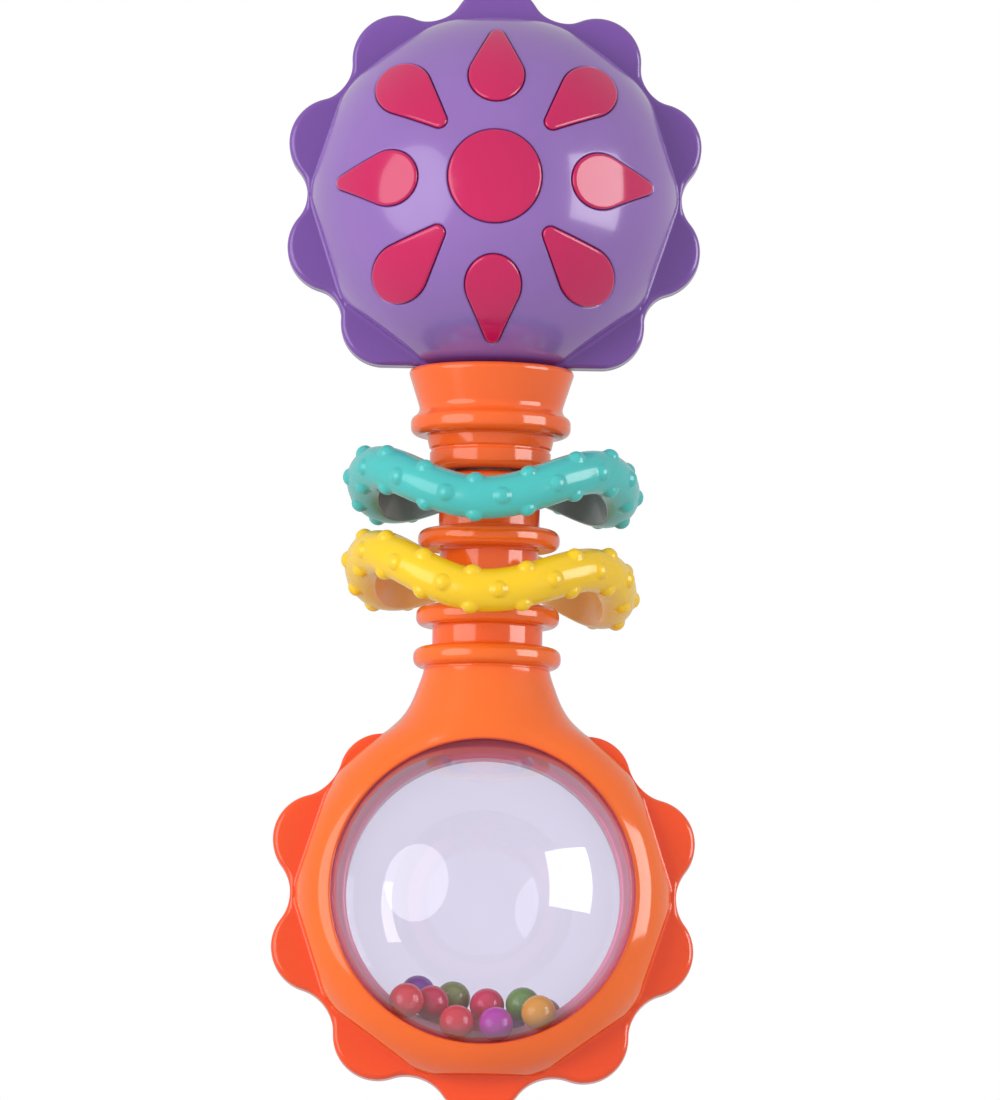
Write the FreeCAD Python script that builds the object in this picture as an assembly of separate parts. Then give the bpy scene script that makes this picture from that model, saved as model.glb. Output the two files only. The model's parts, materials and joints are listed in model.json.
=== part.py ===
import FreeCAD, Part
import math
import os
from FreeCAD import Rotation, Vector as V

# Baby rattle in mm: a round head with inlays, a twisting collar, a handle with two loose wavy
# rings, and a windowed end filled with beads. +Z runs along the handle to the head, -Y is the
# front, +X the right, and the origin is the middle of the whole rattle.

# ---- shared dimensions --------------------------------------------------
HEAD_Z = 61.22          # centre of the round head
LENS_Z = -60.50         # centre of the window end
HEAD_R = 32.0           # outside of the head dome
HEAD_INNER_R = 29.3     # inside of the head dome

LOBES = 10              # places for lobes round each flange
LOBE_STEP = 360.0 / LOBES
LOBE_R = 7.80
FLANGE_T = 3.0          # thickness of one half of a flange
FLANGE_EDGE_R = 1.1
FLAT_CORNER_R = 3.0     # rounding between the flats inside a flange

FIT = 0.1               # clearance round a fixed part
RUN = 0.05              # running clearance of the twist joint
COLLAR_BOTTOM = 13.34
TWIST_GAP = 0.45        # slit between collar and handle
HANDLE_TOP = COLLAR_BOTTOM - TWIST_GAP

PIN_R, PIN_HOLE_R = 1.1, 1.15
PIN_ROOT, PIN_LENGTH = 1.5, 3.5     # part of the pin inside the front half, whole pin
PIN_HOLE_DEPTH = 2.3

REACH = 40.0            # cutters run this far, past every wall they cut


# ---- outlines: runs of ('l', from, to) and ('a', from, middle, to) ------
def polar(radius, deg):
    angle = math.radians(deg)
    return V(radius * math.cos(angle), radius * math.sin(angle), 0)


def rounded(points):
    """A closed run of lines and arcs through (u, v, rounding) corners."""
    count = len(points)
    corners = []
    for i, (x, y, radius) in enumerate(points):
        corner = V(x, y, 0)
        if radius <= 0:
            corners.append((corner, None, corner))
            continue
        to_last = (V(*points[i - 1][:2], 0) - corner).normalize()
        to_next = (V(*points[(i + 1) % count][:2], 0) - corner).normalize()
        half = to_last.getAngle(to_next) / 2
        setback = radius / math.tan(half)
        centre = corner + (to_last + to_next).normalize() * (radius / math.sin(half))
        middle = centre + (corner - centre).normalize() * radius
        corners.append((corner + to_last * setback, middle, corner + to_next * setback))
    run = []
    for i, (start, middle, end) in enumerate(corners):
        if middle is not None:
            run.append(("a", start, middle, end))
        following = corners[(i + 1) % count][0]
        if (following - end).Length > 1e-6:
            run.append(("l", end, following))
    return run


def wire(run, place):
    """The run as a wire, each point put in space by place."""
    edges = []
    for kind, *points in run:
        spots = [place(p) for p in points]
        edges.append(Part.makeLine(*spots) if kind == "l" else Part.Arc(*spots).toShape())
    return Part.Wire(edges)


def flats(apothem):
    """A ten-sided outline whose sides face the lobes."""
    radius = apothem / math.cos(math.radians(LOBE_STEP / 2))
    corners = [polar(radius, 90 + LOBE_STEP * (k + 0.5)) for k in range(LOBES)]
    return rounded([(p.x, p.y, FLAT_CORNER_R) for p in corners])


# ---- basic solids -------------------------------------------------------
def ball(radius, z, y=0):
    return Part.makeSphere(radius, V(0, y, z))


def post(radius, z0, z1):
    """A cylinder on the Z axis."""
    return Part.makeCylinder(radius, z1 - z0, V(0, 0, z0))


def bar(width, depth, z0, z1):
    """A box centred on the Z axis."""
    return Part.makeBox(width, depth, z1 - z0, V(-width / 2, -depth / 2, z0))


def rod_y(radius, y0, y1, z, x=0):
    """A cylinder along Y."""
    return Part.makeCylinder(radius, y1 - y0, V(x, y0, z), V(0, 1, 0))


def slab(y0, y1, z):
    """A wide block about height z, thick from y0 to y1."""
    return Part.makeBox(2 * REACH, y1 - y0, 2 * REACH, V(-REACH, y0, z - REACH))


def plate(run, y0, y1, z):
    """An outline in the XZ plane about height z, thick from y0 to y1."""
    outline = wire(run, lambda p: V(p.x, y0, p.y + z))
    return Part.Face(outline).extrude(V(0, y1 - y0, 0))


def prism(run, z0, z1):
    """An outline in the XY plane, tall from z0 to z1."""
    return Part.Face(wire(run, lambda p: V(p.x, p.y, z0))).extrude(V(0, 0, z1 - z0))


def turned(points):
    """A solid of revolution about Z from (radius, z, rounding) corners."""
    outline = wire(rounded(points), lambda p: V(p.x, 0, p.y))
    return Part.Face(outline).revolve(V(0, 0, 0), V(0, 0, 1), 360)


def half_space(front=True):
    return Part.makeBox(200, 100, 400, V(-100, -100 if front else 0, -200))


def as_back(front):
    """The back half is the front half turned half a turn about Z."""
    back = front.copy()
    back.rotate(V(0, 0, 0), V(0, 0, 1), 180)
    return back


# ---- lobed flanges ------------------------------------------------------
# The lobe ring has its centres at ring_c and its notches reach in to notch; the first of the
# seven full lobes is at first_deg. Each end lobe, mirrored in X, has its centre (x, z) from the
# flange centre, its radius and the radius of the hollow beside it.
HEAD_FLANGE = dict(ring_c=29.48, notch=32.52, first_deg=-18,
                   end_x=18.9, end_z=-22.27, end_r=7.45, end_hollow_r=5.0)
LENS_FLANGE = dict(ring_c=30.20, notch=33.39, first_deg=162,
                   end_x=-18.05, end_z=20.65, end_r=7.10, end_hollow_r=8.0)
FULL_LOBES = 7


def hollow_radius(ring_c, notch):
    """Radius of the concave arc between two lobes, from how deep the notch goes."""
    cos_half = math.cos(math.radians(LOBE_STEP / 2))
    return (ring_c**2 + notch**2 - 2 * ring_c * notch * cos_half - LOBE_R**2) / (
        2 * LOBE_R - 2 * notch + 2 * ring_c * cos_half
    )


def bisector(centre, start, end):
    return (start - centre).normalize() + (end - centre).normalize()


def hollow_between(lobe1, lobe2, hollow_r):
    """The concave arc that touches two lobe circles on their outer side."""
    (centre1, r1), (centre2, r2) = lobe1, lobe2
    span = (centre2 - centre1).Length
    reach1, reach2 = r1 + hollow_r, r2 + hollow_r
    along = (reach1**2 - reach2**2 + span**2) / (2 * span)
    toward = (centre2 - centre1).normalize()
    outward = V(toward.y, -toward.x, 0)
    if outward.dot(centre1 + centre2) < 0:
        outward = outward * -1
    centre = centre1 + toward * along + outward * math.sqrt(reach1**2 - along**2)
    start = centre1 + (centre - centre1).normalize() * r1
    end = centre2 + (centre - centre2).normalize() * r2
    middle = centre + bisector(centre, start, end).normalize() * hollow_r
    return ("a", start, middle, end)


def lobe_chain(lobes, hollow_radii, start, end):
    """Lobe circles (centre, radius) in order, joined by concave arcs."""
    hollows = [hollow_between(*trio) for trio in zip(lobes, lobes[1:], hollow_radii)]
    run = []
    for i, (centre, radius) in enumerate(lobes):
        leave = hollows[i][1] if i < len(hollows) else end
        outward = bisector(centre, start, leave)
        if outward.dot(centre) < 0:
            outward = outward * -1
        run.append(("a", start, centre + outward.normalize() * radius, leave))
        if i < len(hollows):
            run.append(hollows[i])
            start = hollows[i][3]
    return run


def flange_outline(ring_c, notch, first_deg, end_x, end_z, end_r, end_hollow_r):
    """Seven full lobes between two end lobes, closed by a level line towards the handle."""
    first, last = V(end_x, end_z, 0), V(-end_x, end_z, 0)
    lobes = [(first, end_r)]
    lobes += [(polar(ring_c, first_deg + LOBE_STEP * k), LOBE_R) for k in range(FULL_LOBES)]
    lobes += [(last, end_r)]
    inner_hollows = [hollow_radius(ring_c, notch)] * (FULL_LOBES - 1)
    to_line = V(0, math.copysign(end_r, end_z), 0)
    start, end = first + to_line, last + to_line
    run = lobe_chain(lobes, [end_hollow_r] + inner_hollows + [end_hollow_r], start, end)
    run.append(("l", end, start))
    return run


def flange(sizes, z):
    """The front half of a flange, with its front edge rounded."""
    body = plate(flange_outline(**sizes), -FLANGE_T, 0, z)
    rim = [e for e in body.Edges if e.BoundBox.YMax < -FLANGE_T + 1e-4]
    return body.makeFillet(FLANGE_EDGE_R, rim)


# ---- head ---------------------------------------------------------------
HEAD_FLAT = 30.43               # centre to flat at the foot of the dome
HEAD_PIN_C, HEAD_PIN_DEGS = 33.2, (90, 18, 162)
NECK_R, NECK_BORE_R = 9.5, 7.2
NECK_TOP = 32.4
NECK_BORE_Z = (18.22, 38.22)
LUG_R, LUG_Z = 11.3, (19.9, 21.9)
LUG_EDGE_R = 0.3
EAR_X, EAR_Y = 12.3, 1.6        # reach of the ears to the sides and to the front
EAR_Z, EAR_H = 19.95, 1.9

INLAY_RISE = 0.35               # how far an inlay pad stands above the dome
INLAY_GAP = 0.12                # groove round a pad
INLAY_EDGE_R = 0.5
INLAY_SHELL_T = 1.4
PAD_ROOT = 0.7                  # depth of a pad into the inlay shell
DISC_R = 8.1                    # middle pad
DROP_R, DROP_TIP_R = 4.85, 1.4  # round end and point of a teardrop pad
AXIS_DROP = (18.2, 27.3)        # radius to the round end's centre, radius the point reaches
DIAGONAL_DROP = (22.7, 12.5)


def teardrop(centre, tip, grow, deg):
    """A round end at radius centre and a point that reaches radius tip, turned to an angle."""
    side = 1 if tip > centre else -1
    tip_centre = tip - side * DROP_TIP_R
    tangent = math.acos((DROP_R - DROP_TIP_R) / abs(tip_centre - centre))
    turn = Rotation(V(0, 0, 1), deg)

    def spot(middle, radius, angle):
        x = middle + side * (radius + grow) * math.cos(angle)
        return turn.multVec(V(x, (radius + grow) * math.sin(angle), 0))

    round_1, round_2 = spot(centre, DROP_R, tangent), spot(centre, DROP_R, -tangent)
    tip_1, tip_2 = (spot(tip_centre, DROP_TIP_R, a) for a in (tangent, -tangent))
    return [
        ("a", round_1, spot(centre, DROP_R, math.pi), round_2),
        ("l", round_2, tip_2),
        ("a", tip_2, spot(tip_centre, DROP_TIP_R, 0), tip_1),
        ("l", tip_1, round_1),
    ]


def pad_tools(grow, drop_back):
    """The disc and eight teardrops as prisms along Y; the teardrops end at y = drop_back."""
    tools = [rod_y(DISC_R + grow, -REACH, 0, HEAD_Z)]
    for k in range(8):
        run = teardrop(*(AXIS_DROP, DIAGONAL_DROP)[k % 2], grow, 45 * k)
        tools.append(plate(run, -REACH, drop_back, HEAD_Z))
    return tools


def head_shell():
    foot = plate(flats(HEAD_FLAT), -HEAD_R - 1, 0, HEAD_Z)
    dome = ball(HEAD_R, HEAD_Z).common(foot)
    brim = flange(HEAD_FLANGE, HEAD_Z)
    neck = post(NECK_R, LUG_Z[0], NECK_TOP).common(half_space())
    lug = turned([
        (0, LUG_Z[0], 0),
        (LUG_R, LUG_Z[0], LUG_EDGE_R),
        (LUG_R, LUG_Z[1], LUG_EDGE_R),
        (0, LUG_Z[1], 0),
    ]).common(half_space())
    # two ears on the lug key the head to its collar
    ears = Part.makeBox(2 * EAR_X, EAR_Y, EAR_H, V(-EAR_X, -EAR_Y, EAR_Z))
    body = dome.fuse([brim, neck, lug, ears])
    hollow = ball(HEAD_INNER_R, HEAD_Z)
    bore = post(NECK_BORE_R, *NECK_BORE_Z)
    return body.cut([hollow, bore] + pad_tools(INLAY_GAP, -2))


def on_pad_top(edge):
    """Whether an edge lies on the outer sphere of the pads."""
    first, last = edge.FirstParameter, edge.LastParameter
    for part in (0.25, 0.5, 0.75):
        offset = edge.valueAt(first + (last - first) * part) - V(0, 0, HEAD_Z)
        if abs(offset.Length - HEAD_R - INLAY_RISE) >= 1e-3:
            return False
    return edge.BoundBox.YMax < -9


def inlay():
    """A thin cap inside the dome that carries the raised pads."""
    outer = HEAD_INNER_R - FIT
    shell = ball(outer, HEAD_Z).cut(ball(outer - INLAY_SHELL_T, HEAD_Z))
    shell = shell.common(slab(-REACH, -8, HEAD_Z))
    top = ball(HEAD_R + INLAY_RISE, HEAD_Z)
    root = ball(outer - PAD_ROOT, HEAD_Z)
    pads = []
    for tool in pad_tools(0, -8):
        pad = tool.common(top)
        rim = [e for e in pad.Edges if on_pad_top(e)]
        # a pad whose edge can't be rounded stays sharp
        try:
            smooth = pad.makeFillet(INLAY_EDGE_R, rim)
            if smooth.isValid() and smooth.Volume > 0:
                pad = smooth
        except Exception:
            pass
        pads.append(pad.cut(root))
    return shell.fuse(pads)


# ---- collar and twist joint ---------------------------------------------
SPINDLE_R, SPINDLE_Z = 6.0, (-11.0, 15.85)
SPINDLE_BORE = (4.2, -12, 12)           # radius, bottom, top
SPINDLE_FLANGE_R, SPINDLE_FLANGE_Z = 7.4, (-9.0, -7.0)
SHOULDER_R, SHOULDER_Z = 7.2, (15.55, 16.2)
SHOULDER_EDGE_R = 0.15
SQUARE = 5.6                            # side of the square shaft
SQUARE_BOTTOM = 16.0
WASHER_R, WASHER_HOLE_R = 6.3, 1.02
WASHER_Z = (18.85, 19.25)               # on the square shaft, under the screw head
SCREW_R = 1.0
SCREW_HOLE_Z = (11.5, 19.5)
SHANK_Z, SHANK_TOP_Z = (13.4, 18.9), (18.6, 19.6)
SCREW_HEAD_R = 1.9
SLOT_WIDTH, SLOT_LENGTH = 0.5, 2.4      # the crossed slots in the screw head
SLOT_Z = (19.8, 20.8)

TEETH = 12
TOOTH_TIP_R, TOOTH_MID_R, TOOTH_ROOT_R = 6.65, 6.15, 5.85
WHEEL_BOTTOM = 16.25

CLICK_CHAMBER = (9.0, 15.5, 19.6)       # radius, bottom, top
JOURNAL_Z = (COLLAR_BOTTOM - 0.5, COLLAR_BOTTOM + 2.5)
COLLAR_BORE_Z = (19.5, 39.5)
COLLAR_HEAD_GAP = 0.08

COLLAR_PROFILE = [                      # radius, z, rounding
    (0, COLLAR_BOTTOM, 0), (10.5, COLLAR_BOTTOM, 1.3),
    (10.5, 16.55, 0.3), (10.28, 16.85, 0.1),
    (10.28, 17.1, 0.1), (10.6, 17.4, 0.2),
    (11.1, 19.5, 0.5), (13.87, 19.5, 1.45),
    (13.87, 22.45, 1.3), (12.15, 23.65, 1.6),
    (14.57, 31.2, 0.8), (0, 31.2, 0),
]

SPRING_Z = (16.3, 19.0)
SPRING_OUTLINE = [                      # x, y, rounding
    (7.85, -5.0, 0), (8.25, -5.0, 0), (8.25, -1.6, 0.4), (7.22, 0, 0.6), (8.25, 1.6, 0.4),
    (8.25, 5.0, 0), (7.85, 5.0, 0), (7.85, 1.8, 0.4), (6.75, 0, 0.35), (7.85, -1.8, 0.4),
]


def collar(front):
    cuts = [
        ball(HEAD_R + COLLAR_HEAD_GAP, HEAD_Z),
        # bore over the neck of the head, groove for its lug
        post(NECK_R + FIT, *COLLAR_BORE_Z),
        post(LUG_R + FIT, LUG_Z[0] - FIT, LUG_Z[1] + FIT),
        post(*CLICK_CHAMBER),
        post(SPINDLE_R + RUN, *JOURNAL_Z),
        # slots for the ears of the head
        bar(2 * (EAR_X + 0.15), 2 * (EAR_Y + 0.05), LUG_Z[0] - FIT, LUG_Z[1] + FIT),
        # seats of the leaf spring in the chamber wall
        Part.makeBox(0.6, 10.4, 3.0, V(7.75, -5.2, 16.1)),
    ]
    return turned(COLLAR_PROFILE).cut(cuts).common(half_space(front))


def click_spring():
    """A leaf across the chamber with a blunt nose at the wheel."""
    return prism(rounded(SPRING_OUTLINE), *SPRING_Z)


def square_shaft(z0, z1):
    return bar(SQUARE, SQUARE, z0, z1)


def detent_wheel():
    """A wheel of round teeth and hollows on the square shaft."""
    pitch = 360 / TEETH
    quarter = pitch / 4
    run = []
    for k in range(TEETH):
        tooth = pitch * (k + 0.5)
        start, middle, end = (polar(TOOTH_MID_R, tooth + quarter * q) for q in (-1, 1, 3))
        run.append(("a", start, polar(TOOTH_TIP_R, tooth), middle))
        run.append(("a", middle, polar(TOOTH_ROOT_R, tooth + pitch / 2), end))
    return prism(run, WHEEL_BOTTOM, WASHER_Z[0]).cut(square_shaft(16, 20))


def spindle():
    shoulder = turned([
        (0, SHOULDER_Z[0], 0),
        (SHOULDER_R, SHOULDER_Z[0], SHOULDER_EDGE_R),
        (SHOULDER_R, SHOULDER_Z[1], SHOULDER_EDGE_R),
        (0, SHOULDER_Z[1], 0),
    ])
    body = post(SPINDLE_R, *SPINDLE_Z).fuse([
        shoulder,
        square_shaft(SQUARE_BOTTOM, WASHER_Z[0]),
        post(SPINDLE_FLANGE_R, *SPINDLE_FLANGE_Z),
    ])
    return body.cut([post(*SPINDLE_BORE), post(SCREW_R, *SCREW_HOLE_Z)])


def retaining_screw():
    bottom = WASHER_Z[1]
    head = turned([
        (0, bottom, 0), (SCREW_HEAD_R, bottom, 0), (SCREW_HEAD_R, 20.2, 0.5), (0, 20.45, 0),
    ])
    screw = post(SCREW_R, *SHANK_Z).fuse(head)
    # join the shank to its head
    screw = screw.fuse(post(SCREW_R, *SHANK_TOP_Z))
    slot = bar(SLOT_WIDTH, SLOT_LENGTH, *SLOT_Z)
    return screw.cut(slot.fuse(bar(SLOT_LENGTH, SLOT_WIDTH, *SLOT_Z)))


def retaining_washer():
    return post(WASHER_R, *WASHER_Z).cut(post(WASHER_HOLE_R, 18.5, 19.5))


# ---- window frame with the lower handle ---------------------------------
RING_OUT, RING_MID, RING_IN = 32.75, 24.6, 22   # outside, crest and inside radii of the ring
RING_DEPTH = 11.8               # crest of the ring in front of the mid plane
RING_FLAT = 31.15               # centre to flat
LENS_PIN_C, LENS_PIN_DEGS = 33.8, (-90, -18, 198)
DOME_R, DOME_T = 27.5, 1.2      # sphere and wall of a window dome
DOME_OFF = 2.6                  # centre of the dome sphere in front of the mid plane
DOME_SEAT = 4.2                 # foot of a dome in front of the mid plane
DOME_FOOT_R, DOME_FOOT_T = 28.3, 1.5
CHAMBER_R = 23.7                # bore of the ring between the domes

HANDLE_BORE_Z = (-12.0, 13.5)
HANDLE_HOLLOWS = [(7.4, -28.0, -22.5), (5.0, -23.0, -11.0)]    # radius, bottom, top

HANDLE_PROFILE = [              # radius, z, rounding
    (0, HANDLE_TOP, 0), (8.75, HANDLE_TOP, 1.0),
    (8.75, 3.2, 0.5), (12.3, 3.2, 1.5), (12.3, -0.3, 1.5),
    (8.5, -0.3, 0.6), (8.5, -10.2, 0.6), (12.4, -10.2, 1.5), (12.4, -13.7, 1.4),
    (9.55, -13.7, 0.5), (9.55, -17.4, 0.5), (12.8, -17.4, 1.5), (12.8, -20.9, 1.5),
    (10.9, -20.9, 0.35), (11.05, -22.4, 0), (0, -22.4, 0),
]

# ellipses where the handle widens into the ring: z, half width in X, half depth in Y
FLARE = [
    (-21.6, 11.0, 10.95), (-22.6, 11.25, 11.2), (-24.6, 12.0, 11.65), (-26.4, 12.65, 12.05),
    (-28.1, 13.5, 12.45), (-29.3, 14.3, 12.72), (-30.3, 15.15, 12.95), (-31.4, 16.4, 13.2),
    (-32.5, 17.7, 13.35), (-33.8, 19.4, 13.4), (-36.4, 22.6, 12.6), (-39.0, 24.9, 10.6),
]


def window_ring():
    """Front half of the ring: a quarter ellipse turned about Y, trimmed to ten flats."""
    count = 14
    points = []
    for k in range(count + 1):
        angle = math.pi / 2 * k / count
        radius = RING_MID + (RING_OUT - RING_MID) * math.cos(angle)
        points.append(V(radius, -RING_DEPTH * math.sin(angle), LENS_Z))
    curve = Part.BSplineCurve()
    curve.interpolate(points, InitialTangent=V(0, -1, 0), FinalTangent=V(-1, 0, 0))
    corners = [(RING_MID, -RING_DEPTH), (RING_IN, -RING_DEPTH), (RING_IN, 0), (RING_OUT, 0)]
    corners = [V(x, y, LENS_Z) for x, y in corners]
    edges = [curve.toShape()]
    edges += [Part.makeLine(a, b) for a, b in zip(corners, corners[1:])]
    ring = Part.Face(Part.Wire(edges)).revolve(V(0, 0, LENS_Z), V(0, 1, 0), 360)
    return ring.common(plate(flats(RING_FLAT), -20, 0, LENS_Z))


def lens_frame():
    ring = window_ring()
    brim = flange(LENS_FLANGE, LENS_Z)
    handle = turned(HANDLE_PROFILE)
    wires = [Part.Wire(Part.Ellipse(V(0, 0, z), wide, deep).toShape()) for z, wide, deep in FLARE]
    flare = Part.makeLoft(wires, True, False)
    body = ring.fuse([brim, handle.fuse(flare).common(half_space())])

    seat = ball(DOME_R + FIT, LENS_Z, -DOME_OFF).common(slab(-34, -4, LENS_Z))
    groove_bottom, groove_top = SPINDLE_FLANGE_Z[0] - FIT, SPINDLE_FLANGE_Z[1] + FIT
    cuts = [
        seat,
        rod_y(DOME_FOOT_R + FIT, -(DOME_SEAT + DOME_FOOT_T + FIT), 0, LENS_Z),
        # bore for the spindle, with a groove for its flange
        post(SPINDLE_R + RUN, *HANDLE_BORE_Z),
        post(SPINDLE_FLANGE_R + FIT, groove_bottom, groove_top),
    ]
    cuts += [post(*hollow) for hollow in HANDLE_HOLLOWS]
    return body.cut(cuts)


def chamber_ring():
    """The ring between the two domes, turned about Y."""
    half = DOME_SEAT - FIT
    corners = [                 # radius, y, rounding
        (CHAMBER_R, -half, 0.8),
        (DOME_FOOT_R, -half, 0.2),
        (DOME_FOOT_R, half, 0.2),
        (CHAMBER_R, half, 0.8),
    ]
    outline = wire(rounded(corners), lambda p: V(p.x, p.y, LENS_Z))
    return Part.Face(outline).revolve(V(0, 0, LENS_Z), V(0, 1, 0), 360)


def lens_dome():
    cap = ball(DOME_R, LENS_Z, -DOME_OFF).common(slab(-REACH - DOME_SEAT, -DOME_SEAT, LENS_Z))
    foot = rod_y(DOME_FOOT_R, -DOME_SEAT - DOME_FOOT_T, -DOME_SEAT, LENS_Z)
    return cap.fuse(foot).cut(ball(DOME_R - DOME_T, LENS_Z, -DOME_OFF))


# ---- loose wavy rings ---------------------------------------------------
LOOP_R, TUBE_R = 21.7, 3.75
SHAVE = 1.9                     # depth of the flat band inside a loose ring
WAVES, WAVE_PHASE = 3, math.radians(-5)
LOOP_SECTIONS = 36
NUB_R, NUB_OUT = 1.75, 0.85     # radius of a nub, and how far it stands out of the tube
NUBS, NUB_PHASE = 16, math.radians(3.7)
NUB_ROWS = ((0, 0.0), (62, 0.5), (-62, 0.5))    # lift above the outer side in deg, shift in pitches

# place, wave height, lean about Y and tip about X in degrees
TEAL = dict(x=0.6, z=10.75, wave=2.55, lean=0.5, tip=4.15)
YELLOW = dict(x=0.4, z=-5.4, wave=2.72, lean=4.2, tip=3.7)


def wavy_ring(x, z, wave, lean, tip):
    # angles t start at the front and grow towards +X
    def outward(t):
        return V(math.sin(t), -math.cos(t), 0)

    def centre(t):
        return outward(t) * LOOP_R + V(0, 0, -wave * math.cos(WAVES * (t - WAVE_PHASE)))

    sections = []
    for k in range(LOOP_SECTIONS):
        t = 2 * math.pi * k / LOOP_SECTIONS
        along = (centre(t + 1e-4) - centre(t - 1e-4)).normalize()
        out = outward(t)
        circle = Part.Circle(centre(t), along, TUBE_R)
        circle.XAxis = (out - along * out.dot(along)).normalize()
        sections.append(Part.Wire(circle.toShape()))
    tube = Part.makeLoft(sections, True, False, True)
    tube = tube.cut(post(LOOP_R - TUBE_R + SHAVE, -20, 20))
    nubs = []
    for lift, shift in NUB_ROWS:
        angle = math.radians(lift)
        for k in range(NUBS):
            t = NUB_PHASE + 2 * math.pi * (k + shift) / NUBS
            toward = outward(t) * math.cos(angle) + V(0, 0, 1) * math.sin(angle)
            nubs.append(Part.makeSphere(NUB_R, centre(t) + toward * (TUBE_R + NUB_OUT - NUB_R)))
    ring = tube.fuse(nubs)
    ring.rotate(V(0, 0, 0), V(0, 1, 0), lean)
    ring.rotate(V(0, 0, 0), V(1, 0, 0), tip)
    ring.translate(V(x, 0, z))
    return ring


# ---- beads --------------------------------------------------------------
BEAD_R = 3.0
BEAD_GAP = 0.05                 # clearance to the wall of the window

# name, x, y, height above the lowest place the window allows there
BEADS = [
    ("red_bead_left", -12.9, -7.25, 0),
    ("scarlet_bead", -4.2, -7.25, 0),
    ("magenta_bead", 2.6, -7.25, 0),
    ("amber_bead", 9.9, -7.25, 0),
    ("crimson_bead", -8.55, -3.0, 0),
    ("rose_bead", 1.0, -1.2, 1.6),
    ("green_bead", 7.2, -1.2, 0.6),
    ("olive_bead", -4.9, 2.2, 2.4),
    ("purple_bead_left", -11.0, 2.9, 0.8),
    ("tan_bead", -8.2, 8.9, 0),
    ("red_bead_back", -1.4, 7.25, 0),
    ("violet_bead", 4.8, 7.25, 0),
    ("brown_bead", 11.0, 7.25, 0),
]


def bead_reach(x, y):
    """Greatest distance below the middle of the window for a bead centre at x, y."""
    if abs(y) > DOME_SEAT:
        inner = DOME_R - DOME_T - BEAD_R - BEAD_GAP
        return math.sqrt(inner**2 - (abs(y) - DOME_OFF)**2 - x**2)
    return math.sqrt((CHAMBER_R - BEAD_R - BEAD_GAP)**2 - x**2)


def bead(x, y, lift):
    body = Part.makeSphere(BEAD_R)
    # poles along Y
    body.rotate(V(0, 0, 0), V(1, 0, 0), 90)
    body.translate(V(x, y, LENS_Z - bead_reach(x, y) + lift))
    return body


# ---- export -------------------------------------------------------------
def save(name, shape):
    if shape.ShapeType != "Compound":
        shape = shape.removeSplitter()
    solids = shape.Solids
    shape = solids[0] if len(solids) == 1 else Part.makeCompound(solids)
    shape.exportStep(f"parts/{name}.step")


def save_halves(name, front):
    save(f"{name}_front", front)
    save(f"{name}_back", as_back(front))


def save_pinned_halves(name, half, z, pin_c, degs):
    """Both halves, with pins on the front one and holes for them in the back one."""
    def pins(radius, y0, y1):
        spots = [polar(pin_c, deg) for deg in degs]
        return [rod_y(radius, y0, y1, z + p.y, p.x) for p in spots]

    save(f"{name}_front", half.fuse(pins(PIN_R, -PIN_ROOT, PIN_LENGTH - PIN_ROOT)))
    save(f"{name}_back", as_back(half).cut(pins(PIN_HOLE_R, 0, PIN_HOLE_DEPTH)))


if __name__ == "__main__":
    os.makedirs("parts", exist_ok=True)
    save_pinned_halves("head_shell", head_shell(), HEAD_Z, HEAD_PIN_C, HEAD_PIN_DEGS)
    save_halves("inlay", inlay())
    save("collar_front", collar(True))
    save("collar_back", collar(False))
    save("click_spring", click_spring())
    save("detent_wheel", detent_wheel())
    save("spindle", spindle())
    save("retaining_washer", retaining_washer())
    save("retaining_screw", retaining_screw())
    save_pinned_halves("lens_frame", lens_frame(), LENS_Z, LENS_PIN_C, LENS_PIN_DEGS)
    save("chamber_ring", chamber_ring())
    save_halves("lens_dome", lens_dome())
    save("teal_ring", wavy_ring(**TEAL))
    save("yellow_ring", wavy_ring(**YELLOW))
    for name, x, y, lift in BEADS:
        save(name, bead(x, y, lift))
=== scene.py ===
"""A toy with a flower-shaped head above a handle, two wavy rings on the handle, and a round
window at the bottom where beads lie between two clear domes.

It stands along Z with the head up. The front faces -Y, and the front and back halves meet at
the parting plane y = 0. Shapes are worked out in mm and become metres in make(). Depth is
the distance in front of the parting plane, -y.
"""
import json
import math

import bpy
import numpy as np
from mathutils import Matrix, Vector
from mathutils.geometry import delaunay_2d_cdt


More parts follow.
